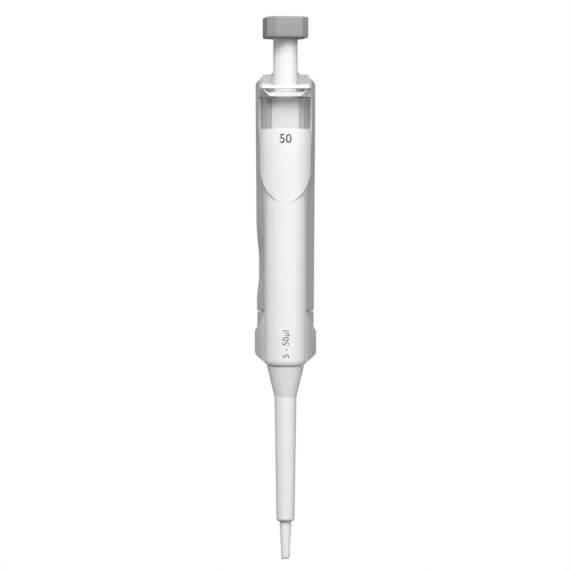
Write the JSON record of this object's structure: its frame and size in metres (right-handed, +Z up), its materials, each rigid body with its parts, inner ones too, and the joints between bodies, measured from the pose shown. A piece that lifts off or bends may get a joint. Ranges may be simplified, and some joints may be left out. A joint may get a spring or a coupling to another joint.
{
  "type": "adjustable single-channel pipette",
  "caption": "Handheld air-displacement pipette with a push knob, adjustable volume, slim tip-ejector sleeve and finger hook.",
  "frame": {"origin": "centre of the nozzle's lower end, on the plunger's axis", "axes": "+Z up along the plunger's axis, -Y the front that shows the display, +X the viewer's right"},
  "size_m": [0.0268, 0.0588, 0.235],
  "materials": {
    "white_plastic": "satin",
    "pale_grey_plastic": "satin",
    "knob_grey_plastic": "satin",
    "lime_plastic": "gloss",
    "inner_grey_plastic": "matte",
    "dial_white": "matte",
    "seal_white": "matte",
    "black_plastic": "matte",
    "black_rubber": "matte",
    "clear_plastic": "gloss",
    "steel": "brushed",
    "brass": "satin"
  },
  "bodies": {
    "housing": {"rear_housing": "pale_grey_plastic", "front_cover": "white_plastic", "hip_collar": "pale_grey_plastic", "head_bezel": "white_plastic", "display_window": "clear_plastic", "display_plate": "pale_grey_plastic", "counter_frame": "inner_grey_plastic", "rod_guide": "pale_grey_plastic", "finger_hook": "pale_grey_plastic", "hook_screw_lower": "steel", "hook_screw_upper": "steel", "tip_cone": "white_plastic", "union_nut": "inner_grey_plastic", "piston_seal": "seal_white", "o_ring": "black_rubber", "seal_retainer": "steel", "primary_spring": "steel", "spring_seat": "inner_grey_plastic", "blowout_spring": "steel", "screw_bearing": "inner_grey_plastic", "ejector_spring": "steel", "ejector_guide": "inner_grey_plastic"},
    "volume_drive": {"volume_screw": "brass", "units_ring": "dial_white"},
    "plunger": {"control_button": "knob_grey_plastic", "button_cap": "knob_grey_plastic", "knob_screw": "steel", "push_rod": "steel", "plunger_rod": "white_plastic"},
    "tens_dial": {"tens_ring": "dial_white"},
    "stroke_nut": {"volume_nut": "inner_grey_plastic"},
    "piston_group": {"piston": "steel", "piston_head": "black_plastic"},
    "first_stop": {"stop_washer": "brass"},
    "ejector": {"ejector_button": "lime_plastic", "ejector_rod": "steel", "ejector_sleeve": "white_plastic", "rod_clip": "steel"}
  },
  "joints": [
    {"name": "volume_turn", "type": "hinge", "parent": "housing", "child": "volume_drive", "pos_m": [0, 0, 0.18], "axis": [0, 0, 1], "range_deg": [-1620, 0]},
    {"name": "plunger_press", "type": "slide", "parent": "volume_drive", "child": "plunger", "axis": [0, 0, -1], "range_m": [0, 0.014], "stiffness_N_per_m": 60, "springref_m": -0.01},
    {"name": "tens_turn", "type": "hinge", "parent": "housing", "child": "tens_dial", "pos_m": [0, 0, 0.194], "axis": [0, 0, 1], "range_deg": [-162, 0]},
    {"name": "nut_travel", "type": "slide", "parent": "housing", "child": "stroke_nut", "axis": [0, 0, 1], "range_m": [-0.0108, 0], "stiffness_N_per_m": 20},
    {"name": "piston_slide", "type": "slide", "parent": "housing", "child": "piston_group", "axis": [0, 0, -1], "range_m": [0, 0.014], "stiffness_N_per_m": 60, "springref_m": -0.01, "deforming": ["primary_spring"]},
    {"name": "blowout_slide", "type": "slide", "parent": "housing", "child": "first_stop", "axis": [0, 0, -1], "range_m": [0, 0.002], "stiffness_N_per_m": 1500, "springref_m": -0.002, "deforming": ["blowout_spring"]},
    {"name": "ejector_press", "type": "slide", "parent": "housing", "child": "ejector", "axis": [0, 0, -1], "range_m": [0, 0.009], "stiffness_N_per_m": 120, "springref_m": -0.006, "deforming": ["ejector_spring"]}
  ],
  "couplings": [
    {"joint": "tens_turn", "follows": "volume_turn", "ratio": 0.1},
    {"joint": "nut_travel", "follows": "volume_turn", "m_per_rad": 0.00038197},
    {"joint": "piston_slide", "follows": "plunger_press", "ratio": 1}
  ]
}
